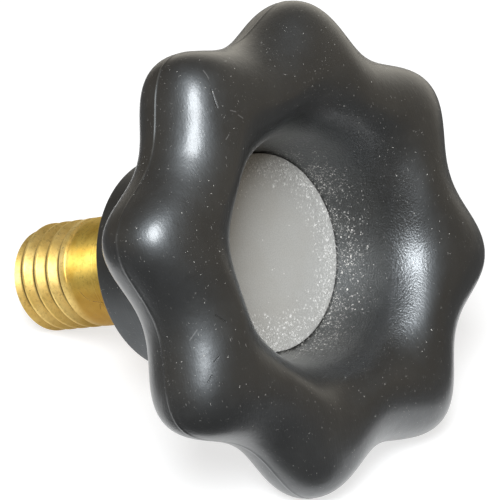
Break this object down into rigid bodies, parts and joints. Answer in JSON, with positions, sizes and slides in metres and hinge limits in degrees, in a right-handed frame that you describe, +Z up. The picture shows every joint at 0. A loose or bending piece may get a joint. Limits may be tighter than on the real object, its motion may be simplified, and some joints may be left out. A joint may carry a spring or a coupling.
{
  "type": "tripod screw",
  "caption": "Hand screw for a tripod: a lobed black knob with a dished front and a badge disc, on a boss with a short threaded brass stud.",
  "frame": {"origin": "on the floor under the middle of the bounding box, the screw lying as it comes to rest", "axes": "+Z up; the screw's axis lies in the XZ plane with the knob's front toward +X and up, the stud toward -X and down"},
  "size_m": [0.0408, 0.039, 0.0359],
  "materials": {
    "knob_plastic": "moulded, worn semi-gloss",
    "stud_brass": "turned, lightly tarnished",
    "badge_metal": "satin, bare"
  },
  "bodies": {
    "root": {"knob": "knob_plastic", "threaded_stud": "stud_brass", "badge_disc": "badge_metal"}
  },
  "joints": []
}
